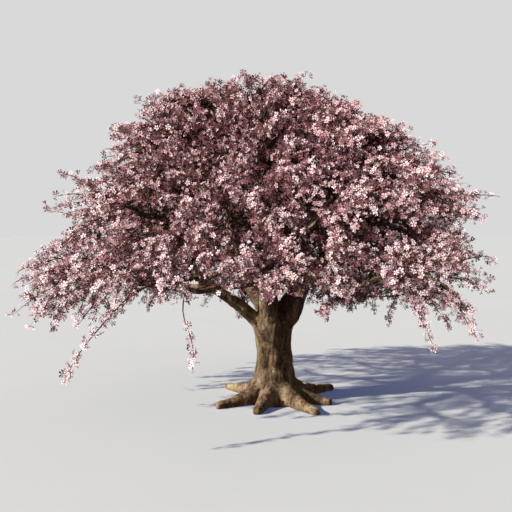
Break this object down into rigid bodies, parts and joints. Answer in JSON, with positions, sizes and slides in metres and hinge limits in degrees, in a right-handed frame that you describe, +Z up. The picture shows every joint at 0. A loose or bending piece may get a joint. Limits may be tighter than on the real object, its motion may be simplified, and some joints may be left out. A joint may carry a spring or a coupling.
{
  "type": "cherry blossom tree",
  "caption": "Broad domed cherry tree in full pink blossom, on a short stout fluted trunk with surface roots and low forking boughs.",
  "frame": {"origin": "middle of the flat cut under the trunk, on level ground", "axes": "+Z up along the trunk, -Y towards the viewer's side, +X to the viewer's right"},
  "size_m": [9.4826, 9.0936, 6.5549],
  "materials": {
    "bark": "rough mottled olive-brown bark with shallow lengthwise furrows",
    "blossom_pink": "matt soft petals, mid pink",
    "blossom_deep": "matt soft petals, deep rose",
    "blossom_pale": "matt soft petals, pale pink"
  },
  "bodies": {
    "root": {"trunk": "bark", "leader": "bark", "bough_left": "bark", "limb_left_low_1": "bark", "limb_left_low_2": "bark", "limb_left_mid_2": "bark", "bough_front_left": "bark", "limb_front_left_low_1": "bark", "limb_front_left_low_2": "bark", "limb_front_left_mid_2": "bark", "bough_front_right": "bark", "limb_front_right_low_1": "bark", "limb_front_right_low_2": "bark", "limb_front_right_mid_2": "bark", "bough_back_right": "bark", "limb_back_right_low_1": "bark", "limb_back_right_low_2": "bark", "limb_back_right_mid_2": "bark", "bough_back_left": "bark", "limb_back_left_low_1": "bark", "limb_back_left_low_2": "bark", "limb_back_left_mid_2": "bark", "limb_left_high": "bark", "limb_front_left_high": "bark", "limb_front_right_high": "bark", "limb_back_right_high": "bark", "limb_back_left_high": "bark", "blossom_top": "blossom_pink", "blossom_left_mid_1": "blossom_deep", "blossom_left_low_1": "blossom_pale", "blossom_left_low_2": "blossom_pink", "blossom_left_mid_2": "blossom_deep", "blossom_front_left_mid_1": "blossom_pale", "blossom_front_left_low_1": "blossom_pink", "blossom_front_left_low_2": "blossom_deep", "blossom_front_left_mid_2": "blossom_pale", "blossom_front_right_mid_1": "blossom_pink", "blossom_front_right_low_1": "blossom_deep", "blossom_front_right_low_2": "blossom_pale", "blossom_front_right_mid_2": "blossom_pink", "blossom_back_right_mid_1": "blossom_deep", "blossom_back_right_low_1": "blossom_pale", "blossom_back_right_low_2": "blossom_pink", "blossom_back_right_mid_2": "blossom_deep", "blossom_back_left_mid_1": "blossom_pale", "blossom_back_left_low_1": "blossom_pink", "blossom_back_left_low_2": "blossom_deep", "blossom_back_left_mid_2": "blossom_pale", "blossom_left_high": "blossom_pink", "blossom_front_left_high": "blossom_deep", "blossom_front_right_high": "blossom_pale", "blossom_back_right_high": "blossom_pink", "blossom_back_left_high": "blossom_deep"}
  },
  "joints": []
}
